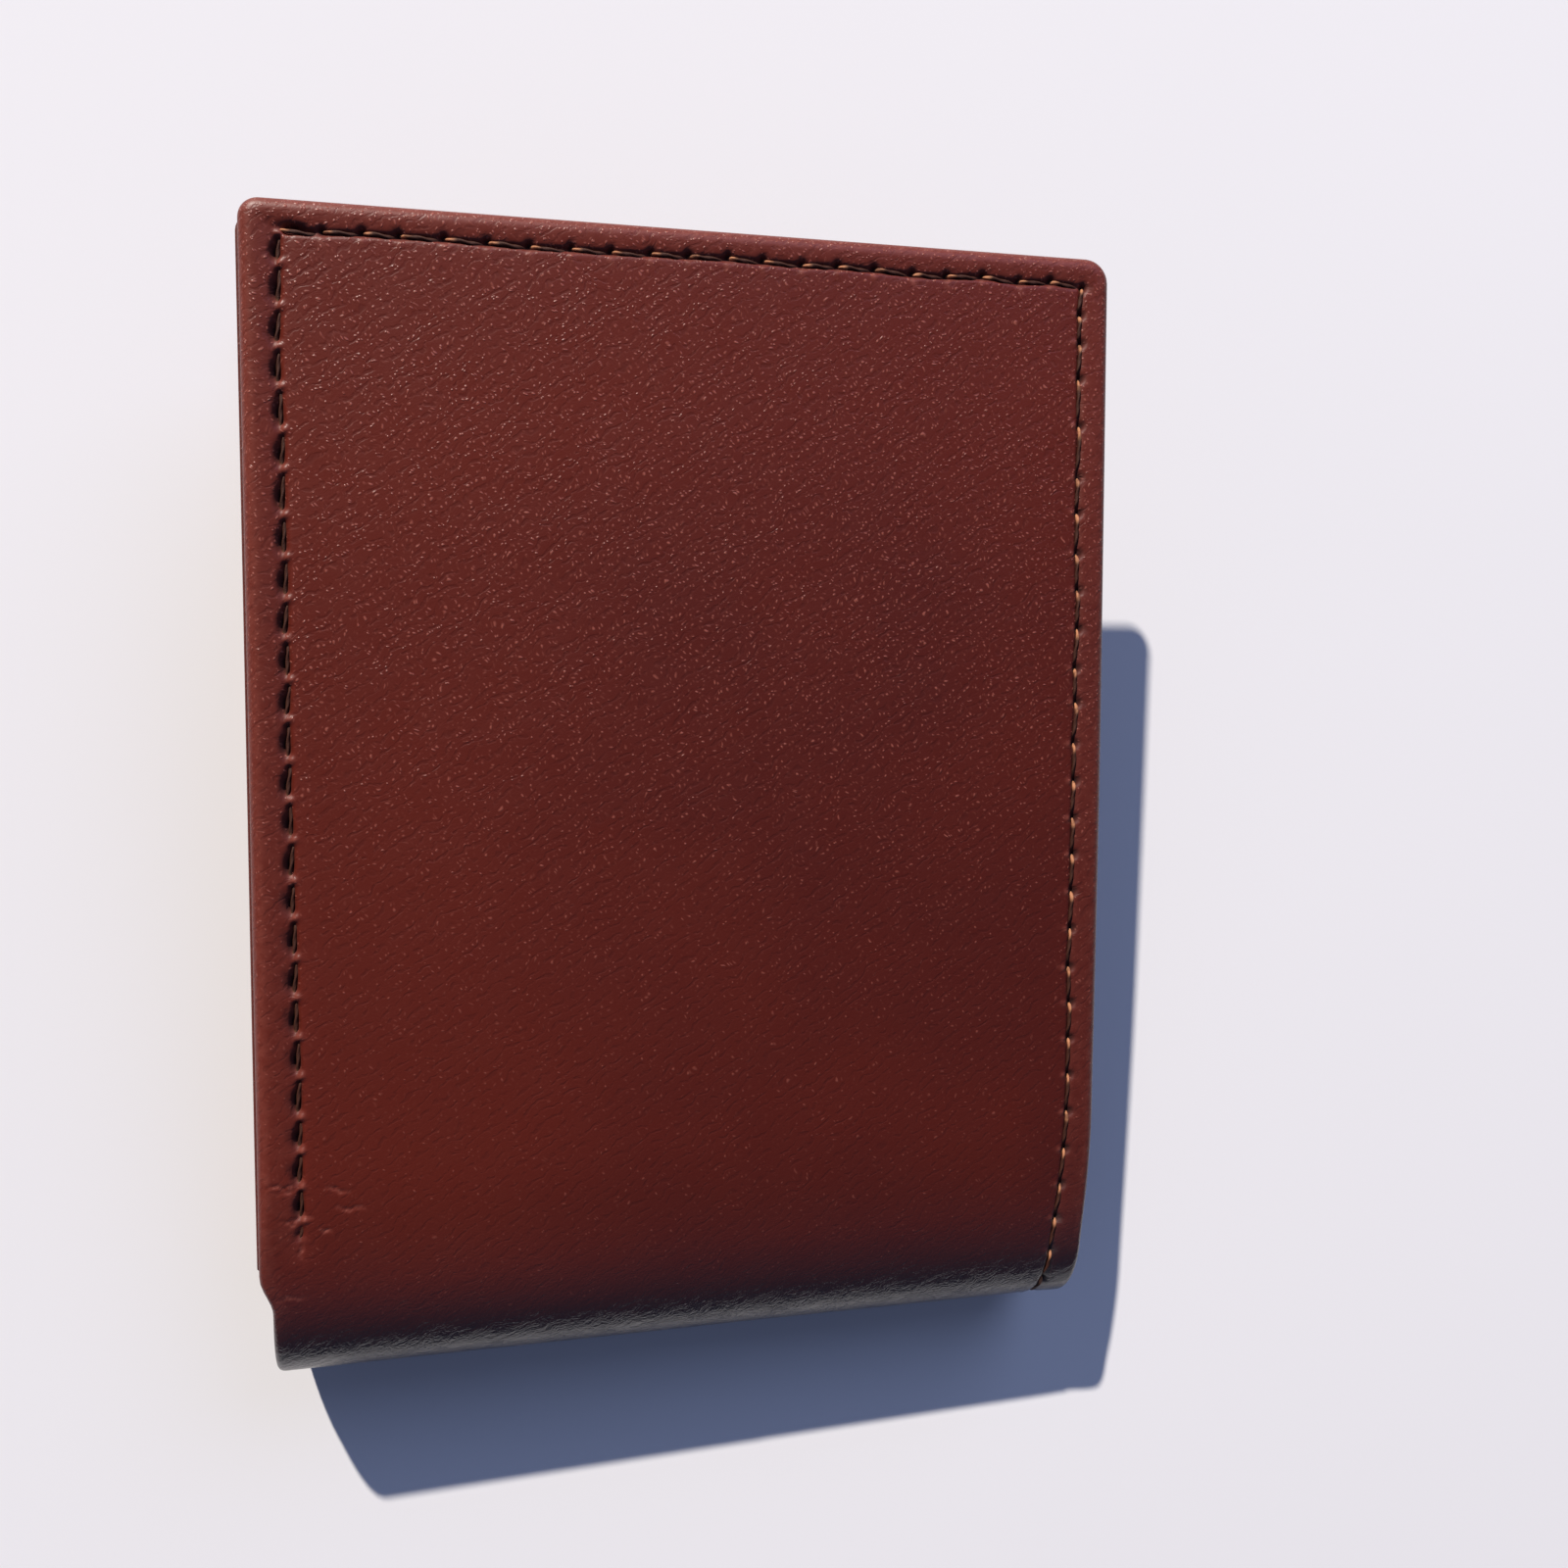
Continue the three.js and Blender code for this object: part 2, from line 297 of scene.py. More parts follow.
# Holes of the outer seam: y up the -X edge, x along the free edge and y down the +X edge.
HOLES_UP = (8.3, 10.55, 13.95, 17.4, *np.linspace(20.9, 74.3, 15))
HOLES_UP += (78.4, 82.6, 86.4, 90.4, 94.0, 97.8, 101.6)
HOLES_ACROSS = (-36.5, -32.8, -29.2, -25.2, -21.1, -17.2, -13.2, *np.linspace(-9.3, 33.4, 12), 37.2)
HOLES_DOWN = (101.6, 98.7, 94.9, 90.0, 84.7, 80.7, *np.linspace(76.6, 15.4, 16))
HOLES_DOWN += (11.2, 7.2, 3.3, -0.6, -4.8, -9.05)
LEFT_CORNER = (-40.45, 104.55)
RIGHT_CORNER = (40.6, 104.45)
LOOSENESS = 0.1
STEADIER_FROM = 60  # from this hole on they lie closer to the line
HOLE_OUT = 0.18  # from the seam's line out to the middle of a hole's mark

# The marks of the outer seam, in millimetres, and the strength of their painted shade.
SHALLOW_SEAM = SimpleNamespace(
    rim_drop=0.14,  # of the leather between the edge and the seam, where it meets the seam
    hole_radius=0.43,
    hole_depth=0.5,
    hole_shade=1.0,
    lip_inside=0.8,  # from the hole to the lip of leather that stands up
    lip_height=0.1,
    groove_inset=-0.2,  # from a hole to the end of the groove under the stitch
    groove_width=0.23,
    groove_depth=0.36,
    hollow_back=0.0,  # from the middle of a stitch back to that of the hollow beside it
    hollow_length=0.3,  # as a share of the stitch
    hollow_width=0.25,
    hollow_depth=0.04,
    hollow_shade=0.05,
    thread_depth=0.28,
    thread_dive=0.8,
    thread_radius=0.18,
    glint_hidden=0.0,  # share of the thread's start, with its painted golden glint, that lies in its hole
)
DEEP_SEAM = SimpleNamespace(
    rim_drop=0.38,
    hole_radius=0.3,
    hole_depth=0.1,
    hole_shade=0.1,
    lip_inside=0.3,
    lip_height=0.25,
    groove_inset=0.25,
    groove_width=0.28,
    groove_depth=0.45,
    hollow_back=0.5,
    hollow_length=0.24,
    hollow_width=0.36,
    hollow_depth=0.65,
    hollow_shade=0.8,
    thread_depth=0.66,
    thread_dive=0.28,
    thread_radius=0.17,
    glint_hidden=0.14,
)


def seam_kind(x):
    """The outer seam lies deep in the leather along the -X edge, and shallow elsewhere."""
    return DEEP_SEAM if x < -39 else SHALLOW_SEAM


def left_seam(y):
    """x of the seam along the -X edge, which leans inwards a little."""
    return -40.5 + 0.6 * (1 - y / 104)


def right_seam(y):
    """x of the seam along the +X edge, which turns inwards at the fold."""
    return 40.6 - 2.2 * ramp(y, 14, -12)


def outer_holes(side):
    """Needle holes of the outer seam in the order of sewing, as x and s."""
    rng = np.random.default_rng(11 if side == "front" else 12)
    holes = [(left_seam(y), y) for y in HOLES_UP] + [LEFT_CORNER]
    holes += [(x, SEAM_TOP) for x in HOLES_ACROSS] + [RIGHT_CORNER]
    holes += [(right_seam(y), y) for y in HOLES_DOWN]
    holes = np.array(holes)
    loose = rng.normal(0, 1, holes.shape) * LOOSENESS
    loose[-3:] = 0
    holes += loose * np.where(np.arange(len(holes)) < STEADIER_FROM, 1, 0.8)[:, None]
    holes[:, 1] += ARC
    return holes


OUTER_HOLES = {side: outer_holes(side) for side in SIDES}

RINGS = 21  # along a stitch
ROUND = 12  # points of a ring
PLY_TWIST = 1.9  # radians in a millimetre
PLY_SWELL = 0.2

CREASES = (  # x and y of both ends, and the depth
    (-37.6, 13.6, -35.5, 13.1, 0.13),
    (-36.6, 11.5, -34.1, 11.3, 0.13),
    (-38.2, 9.6, -37.2, 9.35, 0.12),
    (-43.3, 14.1, -40.0, 13.9, 0.12),
    (-42.1, 13.2, -40.0, 13.9, 0.12),
    (-42.0, 10.6, -40.0, 10.6, 0.12),
    (-41.2, 10.0, -39.9, 10.8, 0.11),
    (-39.9, 10.8, -39.0, 10.6, 0.11),
    (-40.0, 8.3, -40.0, 6.8, 0.14),
    (-42.9, 2.9, -39.7, 2.9, 0.07),
)


def stitch(start, end, depths, rng, radius=0.2, slant=0.14, rings=RINGS, sides=ROUND):
    """A two-ply thread between two holes, diving into both. Gives points, faces and the share
    of the way along each point is. depths are those at both ends and that of the dive."""
    start, end = np.asarray(start, float), np.asarray(end, float)
    length = np.linalg.norm(end - start)
    way = (end - start) / length
    rim = np.array([-way[1], way[0]])
    u = np.linspace(0, 1, rings)
    bow = rng.normal(0, 0.03)
    lean = slant * (1 - 2 * smooth(u)) + bow * np.sin(math.pi * u) + rng.normal(0, 0.02)
    plan = start + np.outer(u, end - start) + np.outer(lean, rim)
    dive = np.where(u < 0.5, 0.7 * (1 - 2 * u) ** 6, 1.2 * np.maximum(2 * u - 1, 0) ** 4)
    dive = dive - 0.04 * np.sin(math.pi * u)
    depth = depths[0] + (depths[1] - depths[0]) * u + dive * depths[2]
    line = np.column_stack([plan, depth])
    tangent = np.gradient(line, axis=0)
    tangent /= np.linalg.norm(tangent, axis=1)[:, None]
    side = np.cross(tangent, [0, 0, 1.0])
    side /= np.linalg.norm(side, axis=1)[:, None]
    up = np.cross(side, tangent)
    turn = u * length * PLY_TWIST + rng.uniform(0, 6)
    phi = np.linspace(0, 2 * math.pi, sides, endpoint=False)
    girth = radius * (1 + rng.normal(0, 0.04)) * (1 - 0.12 * np.abs(2 * u - 1) ** 3)
    r = girth[:, None] * (1 + PLY_SWELL * np.cos(2 * (phi[None] - turn[:, None])))
    ring = side[:, None] * (r * np.cos(phi))[..., None] + up[:, None] * (r * np.sin(phi))[..., None]
    points = np.concatenate([(line[:, None] + ring).reshape(-1, 3), line[[0, -1]]])
    faces = []
    for i in range(rings - 1):
        for j in range(sides):
            k = (j + 1) % sides
            a, b = i * sides, (i + 1) * sides
            faces.append([a + j, b + j, b + k, a + k])
    last, tip = (rings - 1) * sides, rings * sides
    for j in range(sides):
        k = (j + 1) % sides
        faces += [[tip, j, k], [tip + 1, last + k, last + j]]
    return points, faces, np.concatenate([np.repeat(u, sides), [0, 1]])


def half_stitch(points, faces, along):
    """The first half of a stitch, closed at its middle ring, which lies at s = 0."""
    half = (RINGS // 2 + 1) * ROUND
    middle = slice(half - ROUND, half)
    first_tip = points[[RINGS * ROUND]]
    kept = [f for f in faces if max(f) < half]
    for j in range(ROUND):
        k = (j + 1) % ROUND
        kept += [[half, j, k], [half + 1, half - ROUND + k, half - ROUND + j]]
    points = np.concatenate([points[:half], first_tip, points[middle].mean(0)[None]])
    points[middle, 1] = 0
    points[-1, 1] = 0
    return points, kept, np.concatenate([along[:half], [0, 0.5]])


def thread_piece(name, side, stitches, material):
    """One object of all the stitches of a seam."""
    bm = bmesh.new()
    flat, share = [], []
    for points, faces, along in stitches:
        base = [bm.verts.new(p) for p in points]
        for f in faces:
            bm.faces.new([base[i] for i in f])
        flat.append(points)
        share.append(along)
    bm.verts.ensure_lookup_table()
    flat, share = np.concatenate(flat), np.concatenate(share)
    attributes = {"flat": flat_attribute(*flat.T, side), "along": share}
    return finish_piece(name, bm, place(flat, side), attributes, material)


# ---- Materials ----


class Nodes:
    """Shorthand for a material's node tree."""

    def __init__(self, name, roughness, specular=0.5):
        self.material = bpy.data.materials.new(name)
        self.material.use_nodes = True
        self.tree = self.material.node_tree
        self.shader = self.tree.nodes["Principled BSDF"]
        self.shader.inputs["Roughness"].default_value = roughness
        self.shader.inputs["Specular IOR Level"].default_value = specular

    def add(self, kind, inputs=(), **settings):
        node = self.tree.nodes.new("ShaderNode" + kind)
        for key, value in settings.items():
            setattr(node, key, value)
        for key, value in dict(inputs).items():
            self.put(node.inputs[key], value)
        return node

    def put(self, socket, value):
        if isinstance(value, bpy.types.NodeSocket):
            self.tree.links.new(value, socket)
        else:
            socket.default_value = value

    def attribute(self, name, output="Fac"):
        return self.add("Attribute", attribute_name=name).outputs[output]

    def math(self, operation, a, b=0.0, c=0.0):
        return self.add("Math", {0: a, 1: b, 2: c}, operation=operation).outputs[0]

    def sized(self, vector, size, turn=0.0):
        """Coordinates for a pattern of this size in millimetres, turned by some degrees."""
        inputs = {"Vector": vector, "Scale": size, "Rotation": (0, 0, math.radians(turn))}
        return self.add("Mapping", inputs, vector_type="TEXTURE").outputs[0]

    def noise(self, vector, scale, detail=2.0, roughness=0.5):
        inputs = {"Vector": vector, "Scale": scale, "Detail": detail, "Roughness": roughness}
        return self.add("TexNoise", inputs).outputs["Fac"]

    def range(self, value, low, high, to_low=0.0, to_high=1.0):
        inputs = {"Value": value, 1: low, 2: high, 3: to_low, 4: to_high}
        node = self.add("MapRange", inputs, interpolation_type="SMOOTHSTEP")
        return node.outputs[0]

    def mix(self, share, a, b):
        node = self.add("Mix", data_type="RGBA")
        self.put(node.inputs[0], share)
        self.put(node.inputs[6], a)
        self.put(node.inputs[7], b)
        return node.outputs[2]

    def bump(self, height, distance):
        return self.add("Bump", {"Height": height, "Distance": distance}).outputs[0]

    def out(self, **sockets):
        for key, value in sockets.items():
            self.put(self.shader.inputs[key.replace("_", " ")], value)
        return self.material


def rgb(red, green, blue):
    return (red, green, blue, 1.0)


ROW_SLANT = 34  # degrees between the rows of the grain and the fold
GRAIN_RELIEF = 0.00005


def wandering(n, flat):
    """Place on the leather, moved to and fro so that no row runs straight."""
    wobble = n.add("TexNoise", {"Vector": flat, "Scale": 0.4, "Detail": 2.0}).outputs["Color"]
    shift = n.add("VectorMath", {0: wobble, 1: (0.5, 0.5, 0.5)}, operation="SUBTRACT")
    moved = n.add("VectorMath", {0: shift.outputs[0], 3: 1.8}, operation="SCALE")
    return n.add("VectorMath", {0: flat, 1: moved.outputs[0]}, operation="ADD").outputs[0]


def grain_rows(n, drawn, grain):
    """Dots in slanting rows, lighter as partly rubbed grain and partly painted glints, fewer
    towards the fold, and broken furrows.
    """
    cells = n.sized(drawn, (0.5, 0.6, 1.0), ROW_SLANT)
    follicles = n.add("TexVoronoi", {"Vector": cells, "Scale": 1.0}, voronoi_dimensions="2D")
    across = {"Vector": n.sized(drawn, (1.0, 1.0, 1.0), ROW_SLANT), "Scale": 0.3}
    across |= {"Distortion": 4.0, "Detail": 2.0, "Detail Scale": 1.2, "Detail Roughness": 0.6}
    rows = n.add("TexWave", across, bands_direction="Y").outputs["Fac"]
    thinning = n.attribute("fewer_dots")
    chance = n.math("MULTIPLY_ADD", thinning, -1.25, follicles.outputs["Color"])
    dots = n.range(follicles.outputs["Distance"], 0.05, 0.31, 1.0, 0.0)
    dots = n.math("MULTIPLY", dots, n.range(chance, -0.2, 0.62, 0.04, 1.0))
    dots = n.math("MULTIPLY", dots, n.range(rows, 0.3, 0.75, 0.22, 1.0))
    dots = n.math("MULTIPLY", dots, grain)
    broken = n.range(n.noise(drawn, 1.2, 2.0, 0.6), 0.4, 0.62, 0.05, 1.0)
    furrows = n.math("MULTIPLY", n.range(rows, 0.0, 0.38, 1.0, 0.0), 0.42 * grain)
    return dots, n.math("MULTIPLY", furrows, broken)


def grain_height(n, flat, drawn, dots, furrows, near_fold):
    """Height of the grain. Near the fold it is rougher and wrinkled."""
    fine = n.noise(n.sized(drawn, (0.3, 0.2, 1.0), 32), 1.0, 2.0)
    fine = n.math("MULTIPLY", fine, n.math("MULTIPLY_ADD", near_fold, 1.4, 0.3))
    patch = n.range(n.noise(flat, 0.11, 3.0, 0.6), 0.3, 0.7, 0.7, 1.0)
    wrinkles = n.range(n.noise(n.sized(drawn, (2.4, 0.45, 1.0), 16), 1.0, 3.0, 0.6), 0.35, 0.65)
    height = n.math("SUBTRACT", n.math("MULTIPLY", dots, 0.9), furrows)
    height = n.math("MULTIPLY", n.math("ADD", fine, height), patch)
    return n.math("ADD", height, n.math("MULTIPLY", n.math("MULTIPLY", wrinkles, 0.4), near_fold))


def leather(name, colour, warm, light, dark, grain, roughness, specular):
    """Fine grained leather with faint cloudy colour, lighter rubbed marks with painted highlight,
    and painted shade in pits and towards the fold, where it is smoother and shinier.
    """
    n = Nodes(name, roughness, specular)
    flat = n.attribute("flat", "Vector")
    painted_shade = n.attribute("painted_shade")
    near_fold = n.attribute("fold")
    drawn = wandering(n, flat)
    dots, furrows = grain_rows(n, drawn, grain)
    height = grain_height(n, flat, drawn, dots, furrows, near_fold)
    cloud = n.range(n.noise(flat, 0.035, 3.0, 0.55), 0.32, 0.68)
    patchy = n.range(n.noise(flat, 0.9, 3.0, 0.6), 0.3, 0.7, 0.35, 1.0)
    # Lighter and warmer along the free edge, as painted sheen, and on the -X side.
    tone = n.mix(n.attribute("warm"), colour, warm)
    tone = n.mix(n.math("MULTIPLY", cloud, 0.35), tone, warm)
    # Lighter where rubbed, with painted highlights on the rims, the seam's lips and the creases'
    # ridges.
    tone = n.mix(n.math("MULTIPLY", n.attribute("wear_and_highlight"), patchy), tone, light)
    tone = n.mix(n.math("MULTIPLY", furrows, 0.3), tone, dark)
    # The dots are lighter: partly rubbed raised grain, partly painted glints.
    tone = n.mix(n.math("MULTIPLY", dots, 0.8), tone, light)
    # Painted shade in the seam's holes, grooves and hollows, and along the pockets' creased lines.
    tone = n.mix(painted_shade, tone, dark)
    # Painted shade, darker towards the fold, where the leather turns away from the light.
    tone = n.mix(n.attribute("painted_fold_shade"), tone, dark)
    gloss = n.range(n.noise(flat, 0.25, 3.0, 0.6), 0.3, 0.7, roughness - 0.02, roughness + 0.02)
    gloss = n.math("SUBTRACT", gloss, n.math("MULTIPLY", near_fold, 0.2))
    gloss = n.math("SUBTRACT", gloss, n.math("MULTIPLY", dots, 0.1))
    gloss = n.math("ADD", gloss, painted_shade)
    shine = n.math("MULTIPLY_ADD", near_fold, 0.5, specular)
    normal = n.bump(height, GRAIN_RELIEF)
    return n.out(Base_Color=tone, Roughness=gloss, Normal=normal, Specular_IOR_Level=shine)


def thread(name, painted_glint, brown):
    """Waxed two-ply thread with fine fibres: dark brown, with a painted golden glint where it
    leaves a hole.
    """
    n = Nodes(name, 0.6, 0.22)
    flat = n.attribute("flat", "Vector")
    along = n.attribute("along")
    fibres = n.noise(n.sized(flat, (0.07, 0.07, 0.07)), 1.0, 2.0, 0.6)
    start = n.range(along, 0.12, 0.3, 1.0, 0.0)
    glint_mask = n.math("MULTIPLY", start, n.range(n.noise(flat, 1.3, 1.0), 0.3, 0.5, 0.35, 1.0))
    # Painted glint: golden at the start of each stitch, where it leaves a hole.
    tone = n.mix(glint_mask, brown, painted_glint)
    tone = n.mix(n.math("MULTIPLY", fibres, 0.5), tone, rgb(0.03, 0.012, 0.007))
    return n.out(Base_Color=tone, Normal=n.bump(fibres, 0.00003))


def cloth(name, colour, other):
    """Fine twill."""
    n = Nodes(name, 0.85, 0.25)
    flat = n.attribute("flat", "Vector")
    turned = n.sized(flat, (0.385, 0.385, 1.0), 45)
    ribs = n.add("TexWave", {"Vector": turned, "Scale": 0.6, "Distortion": 0.4, "Detail": 1.0})
    yarn = n.noise(n.sized(flat, (0.17, 0.8, 1.0), 45), 1.0, 2.0)
    height = n.math("ADD", ribs.outputs["Fac"], n.math("MULTIPLY", yarn, 0.6))
    cloud = n.range(n.noise(flat, 0.06, 3.0), 0.3, 0.7)
    tone = n.mix(n.math("MULTIPLY", ribs.outputs["Fac"], 0.5), colour, other)
    tone = n.mix(n.math("MULTIPLY", cloud, 0.3), tone, other)
    return n.out(Base_Color=tone, Normal=n.bump(height, 0.00006))


def board(name):
    """Grey-brown pulp board."""
    n = Nodes(name, 0.95, 0.2)
    flat = n.attribute("flat", "Vector")
    specks = n.range(n.noise(flat, 3.0, 4.0, 0.7), 0.35, 0.7)
    tone = n.mix(specks, rgb(0.26, 0.19, 0.12), rgb(0.17, 0.12, 0.08))
    return n.out(Base_Color=tone, Normal=n.bump(specks, 0.00004))


OUTER = leather(
    "oxblood_leather",
    colour=rgb(0.0785, 0.0084, 0.0038),
    # warm is the lighter red of the cloudy colour and of the painted sheen.
    warm=rgb(0.124, 0.0135, 0.0045),
    # light colours the rubbed marks, the painted highlights and the lighter dots.
    light=rgb(0.34, 0.095, 0.065),
    # dark colours the furrows, and the painted shade in pits and towards the fold.
    dark=rgb(0.014, 0.004, 0.004),
    grain=1.0,
    roughness=0.43,
    specular=0.37,
)
INNER = leather(
    "inside_leather",
    colour=rgb(0.08, 0.012, 0.0075),
    warm=rgb(0.11, 0.018, 0.01),
    light=rgb(0.17, 0.045, 0.03),
    dark=rgb(0.02, 0.005, 0.004),
    grain=0.7,
    roughness=0.52,
    specular=0.42,
)
# The golden colour is the thread's painted glint.
THREAD = thread("waxed_thread", rgb(0.58, 0.25, 0.12), rgb(0.062, 0.02, 0.011))
TWILL = cloth("twill_lining", rgb(0.022, 0.009, 0.007), rgb(0.045, 0.02, 0.016))
BOARD = board("pulp_board")


# ---- Outer leather ----


def trimmed(gx, gs):
    """The outline of a half of the cover: cut in at the fold, and round at the free corners."""
    y = gs - ARC
    left = CUT_IN[0] * ramp(y, 5, 1.2)
    right = CUT_IN[1] * ramp(y, 16, -10)
    x, s, edge = rounded(gx, gs, HALF_WIDTH, S_END, CORNERS)
    x = x + left * ramp(gx, 12 - HALF_WIDTH, -HALF_WIDTH)
    x = x - right * ramp(gx, HALF_WIDTH - 12, HALF_WIDTH)
    return x, s, edge


def seam_distance(x, y):
    """Distance inwards from the line of the outer seam."""
    return np.minimum(np.minimum(x - left_seam(y), right_seam(y) - x), SEAM_TOP - y)


def fullness(y):
    """How full the rolled edge is. It is flatter at the fold."""
    return 0.55 + 0.45 * ramp(y, 2, 20)


def seam_marks(x, s, side):
    """Marks of the outer seam: their depth, their painted shade, and where the leather is raised.
    """
    holes = OUTER_HOLES[side]
    path = np.concatenate([holes, [holes[-1] * [1, -1]]])
    depth, dark, raised = (np.zeros(len(x)) for _ in range(3))
    for k, (hx, hs) in enumerate(path):
        last = k == len(path) - 1
        nx, ns = path[k - 1] if last else path[k + 1]
        way = np.array([nx - hx, ns - hs]) * (-1 if last else 1)
        length = np.hypot(*way)
        way /= length
        outwards = np.array([-way[1], way[0]])
        kind = seam_kind(hx)
        fade = 0.4 if k == 0 else 1.0  # the first hole is faint
        dx, ds = x - hx - HOLE_OUT * outwards[0], s - hs - HOLE_OUT * outwards[1]
        hole = fade * np.exp(-((dx * dx + ds * ds) / kind.hole_radius**2))
        depth += kind.hole_depth * hole
        # dark here is painted shade in the holes, the grooves and the hollows.
        dark = np.maximum(dark, kind.hole_shade * hole)
        from_hole = np.abs(dx * way[0] + ds * way[1])
        out_of_hole = dx * outwards[0] + ds * outwards[1]
        lip = fade * bell(from_hole, 0.3) * bell(out_of_hole + kind.lip_inside, 0.36)
        depth -= kind.lip_height * lip
        raised = np.maximum(raised, lip)
        if last:
            break
        along = (x - hx) * way[0] + (s - hs) * way[1] - length / 2
        aside = (x - hx) * outwards[0] + (s - hs) * outwards[1]
        within = smooth((length / 2 - kind.groove_inset - np.abs(along)) / 0.6)
        groove = within * bell(aside, kind.groove_width)
        hollow = bell(along + kind.hollow_back, length * kind.hollow_length)
        hollow *= fade * bell(aside - 0.36, kind.hollow_width)
        depth += fade * kind.groove_depth * groove + kind.hollow_depth * hollow
        # Painted shade in the grooves and in the hollows beside the stitches.
        dark = np.maximum(dark, fade * np.maximum(0.4 * groove, kind.hollow_shade * hollow))
    return depth, dark, raised


def crease_marks(x, y):
    """Short wandering creases at the end of the -X seam: their depth, and their raised lips."""
    depth, raised = (np.zeros(len(x)) for _ in range(2))
    for k, (x0, y0, x1, y1, deep) in enumerate(CREASES):
        length = math.hypot(x1 - x0, y1 - y0)
        way_x, way_y = (x1 - x0) / length, (y1 - y0) / length
        far = np.clip((x - x0) * way_x + (y - y0) * way_y, 0, length)
        wander = 0.13 * np.sin(3.1 * far + 1.7 * k) + 0.06 * np.sin(8.3 * far + k)
        aside_x = x - x0 - far * way_x + wander * way_y
        aside_y = y - y0 - far * way_y - wander * way_x
        away = np.hypot(aside_x, aside_y)
        taper = 0.25 + 0.75 * np.sin(math.pi * np.clip(far / length, 0.04, 0.96))
        depth += deep * taper * bell(away, 0.16)
        lip = (0.75 + 0.25 * np.sin(5.7 * far + 2 * k)) * bell(away - 0.11, 0.09)
        raised = np.maximum(raised, taper * lip)
    return depth, raised


def slow_waves(x, y, edge, side):
    """Gentle unevenness of the leather, away from its edges."""
    phase = 0.0 if side == "front" else 2.0
    soft = np.sin(x * 0.085 + phase) * np.sin(y * 0.061 + 0.7 + phase)
    soft += 0.5 * np.sin(x * 0.17 - y * 0.12 + 1.3)
    field_only = ramp(edge, 5, 17) * ramp(y, 1, 13)
    return 0.045 * (1.5 + soft) * field_only


def outside_depth(x, s, edge, side):
    """Depth of the leather's outside, its painted shade, and where it is lighter, rubbed and with
    painted highlight.
    """
    y = s - ARC
    inward = seam_distance(x, y)
    sewn = np.where(x < 0, ramp(y, 5.5, 9), 1.0)
    rim_width = np.maximum(edge - inward, 2.6)
    beside_left = x < left_seam(y) + 1.5
    low = np.where(beside_left, DEEP_SEAM.rim_drop, SHALLOW_SEAM.rim_drop)
    rim = low * np.clip((edge - 1.4) / (rim_width - 1.4), 0, 1) ** 1.4
    field = 0.03 + 0.07 * np.exp(-np.maximum(inward, 0) / 2)
    field += (low - 0.1) * np.exp(-np.maximum(inward, 0) / 0.5)
    rolled = roll(edge, ROLL_WIDTH * fullness(y), ROLL_DEPTH * fullness(y))
    depth = rolled + sewn * np.where(inward < 0, rim, field)
    near = np.abs(inward) < 2.2
    marks, painted_shade, raised = (np.zeros(len(x)) for _ in range(3))
    marks[near], painted_shade[near], raised[near] = seam_marks(x[near], s[near], side)
    depth += marks
    raised *= 0.7
    if side == "front":
        creased, lips = crease_marks(x, y)
        depth += creased
        raised = np.maximum(raised, lips)
    depth += slow_waves(x, y, edge, side)
    # Lighter colour: rubbed at the edge and rim, partly painted highlight, and painted highlight on
    # raised lips and creases.
    wear_and_highlight = np.maximum(0.25 * bell(edge - 0.75, 0.75), 0.75 * raised)
    wear_and_highlight = np.maximum(wear_and_highlight, 0.11 * ramp(inward, 0.3, -0.5) * sewn)
    return depth, np.clip(painted_shade, 0, 1), wear_and_highlight


def inside_depth(edge, y):
    """Depth of the leather's inner face: the hem, and the skin inside it."""
    step = ramp(edge, HEM_WIDTH - 0.4, HEM_WIDTH + 0.4)
    drop = HEM_DEPTH - ROLL_DEPTH * fullness(y)
    return HEM_DEPTH - roll(edge, 0.7, 1.0) * drop - (HEM_DEPTH - SKIN_DEPTH) * step


def warmth_and_sheen(x, y):
    """Where the colour is lighter and warmer: along the free edge, as painted sheen, and on the -X
    side.
    """
    return np.clip(0.8 * ramp(y, 64, 100) + 0.62 * ramp(x, 8, -32), 0, 1)


def needs_detail(x, s):
    """Whether the grid is finer here: beside the seam, and where the creases are."""
    y = s - ARC
    inward = seam_distance(x, y)
    creased = -43.4 < x < -33.6 and 2.0 < y < 15.0
    return abs(inward) < 1.0 and (x > 0 or y > 4) or creased


